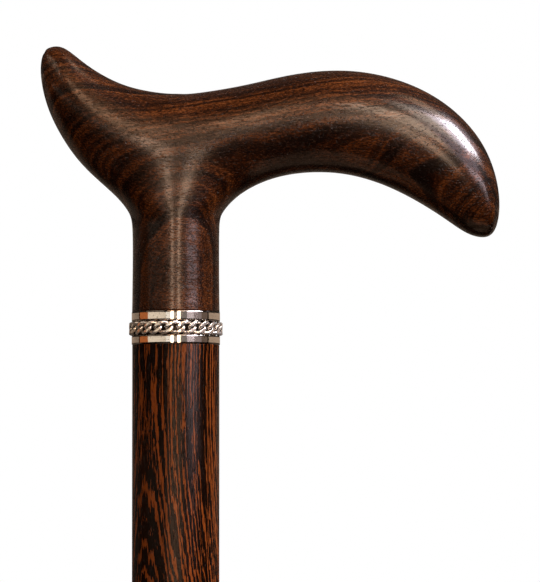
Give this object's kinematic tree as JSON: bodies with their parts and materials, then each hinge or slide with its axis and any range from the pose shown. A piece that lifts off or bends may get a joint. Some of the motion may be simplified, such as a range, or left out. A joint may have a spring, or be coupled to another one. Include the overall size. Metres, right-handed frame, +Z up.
{
  "type": "derby walking cane",
  "caption": "Straight hardwood walking cane with a carved S-curved derby handle, a metal collar with a curb chain, and a pushed-on rubber ferrule.",
  "frame": {"origin": "centre of the ferrule's ground face, on the axis of the shaft", "axes": "+Z up along the shaft, +X towards the nose of the handle, +Y across the handle"},
  "size_m": [0.1254, 0.03, 0.9138],
  "materials": {
    "handle_wood": "satin lacquered dark rosewood, fine dark stripes and open pores",
    "shaft_wood": "satin lacquered dark wenge, orange-brown stripes along the shaft",
    "collar_metal": "polished warm silver plate",
    "chain_metal": "polished warm silver plate, darkened between the links",
    "stud_steel": "zinc-plated steel",
    "ferrule_rubber": "matte black moulded rubber",
    "washer_steel": "plain steel"
  },
  "bodies": {
    "cane": {"handle": "handle_wood", "joint_stud": "stud_steel", "collar_sleeve": "collar_metal", "collar_upper_band": "collar_metal", "collar_lower_band": "collar_metal", "shaft": "shaft_wood", "chain_link_01": "chain_metal", "chain_link_02": "chain_metal", "chain_link_03": "chain_metal", "chain_link_04": "chain_metal", "chain_link_05": "chain_metal", "chain_link_06": "chain_metal", "chain_link_07": "chain_metal", "chain_link_08": "chain_metal", "chain_link_09": "chain_metal", "chain_link_10": "chain_metal", "chain_link_11": "chain_metal", "chain_link_12": "chain_metal", "chain_link_13": "chain_metal", "chain_link_14": "chain_metal", "chain_link_15": "chain_metal", "chain_link_16": "chain_metal", "chain_link_17": "chain_metal", "chain_link_18": "chain_metal", "chain_link_19": "chain_metal", "chain_link_20": "chain_metal", "chain_link_21": "chain_metal", "chain_link_22": "chain_metal", "chain_link_23": "chain_metal", "chain_link_24": "chain_metal"},
    "ferrule": {"ferrule": "ferrule_rubber", "ferrule_washer": "washer_steel"}
  },
  "joints": [
    {"name": "ferrule_pull", "type": "slide", "parent": "cane", "child": "ferrule", "axis": [0, 0, -1], "range_m": [0, 0.03]}
  ]
}
